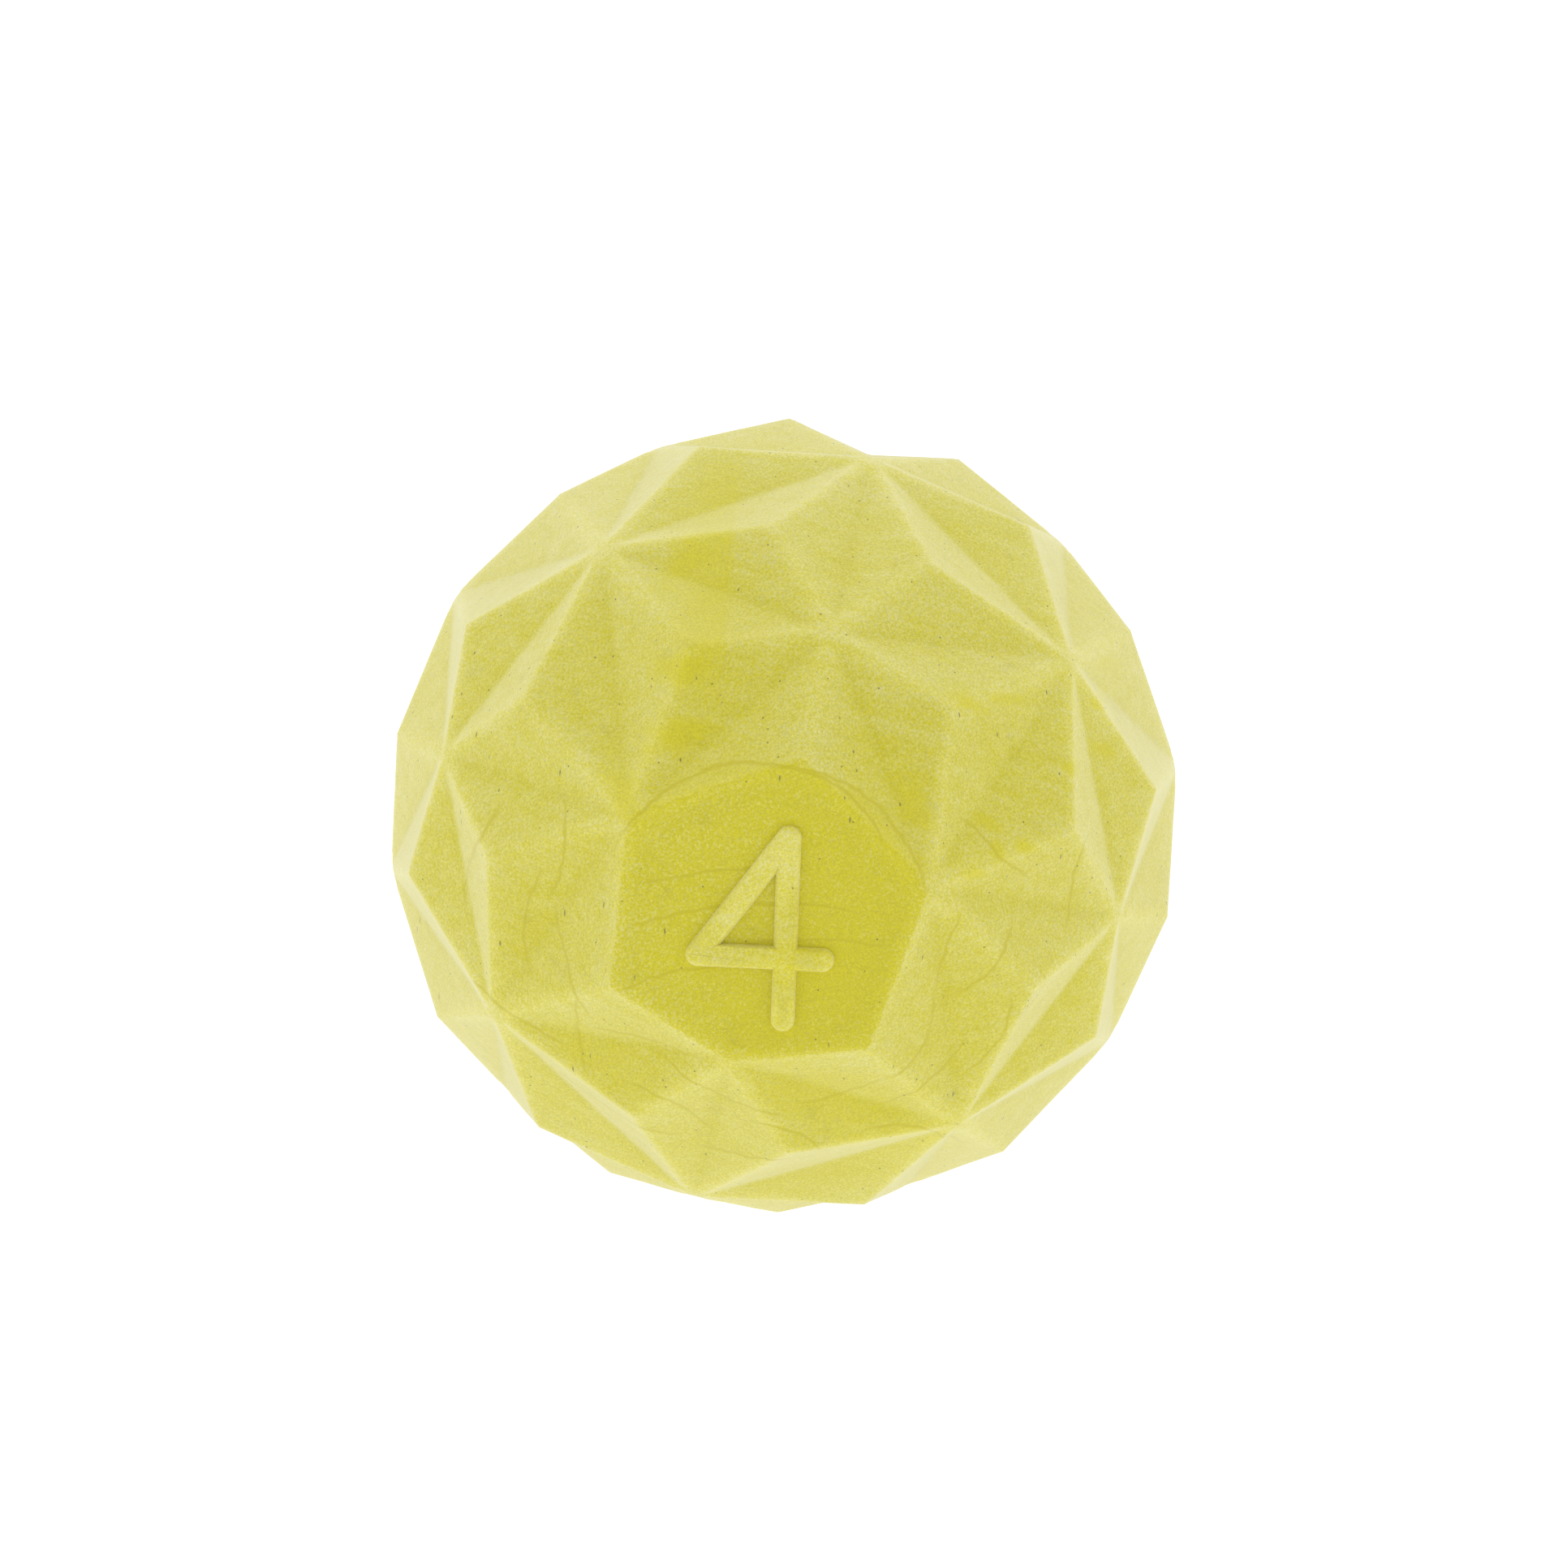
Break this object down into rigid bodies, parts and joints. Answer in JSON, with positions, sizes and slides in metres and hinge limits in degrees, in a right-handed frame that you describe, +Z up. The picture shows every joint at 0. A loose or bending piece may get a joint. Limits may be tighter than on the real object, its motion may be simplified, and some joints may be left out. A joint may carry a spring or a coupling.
{
  "type": "golf ball",
  "caption": "Golf ball with a matte cover of flat triangular facets, one flat panel with a raised play number, and a core, mantle and cover in layers.",
  "frame": {"origin": "the ball's centre", "axes": "+Z up with the ball resting on three of its points; -Y towards the side that the flat panel with the play number faces; +X to the right of that panel seen from the front"},
  "size_m": [0.0418, 0.0416, 0.0414],
  "materials": {
    "cover": "matte, finely grained, lime yellow elastomer, slightly translucent",
    "mantle": "matte natural ionomer",
    "outer_core": "matte moulded rubber",
    "inner_core": "matte moulded rubber"
  },
  "bodies": {
    "root": {"cover_front": "cover", "cover_back": "cover", "mantle_upper": "mantle", "mantle_lower": "mantle", "outer_core_left": "outer_core", "outer_core_right": "outer_core", "inner_core": "inner_core"}
  },
  "joints": []
}
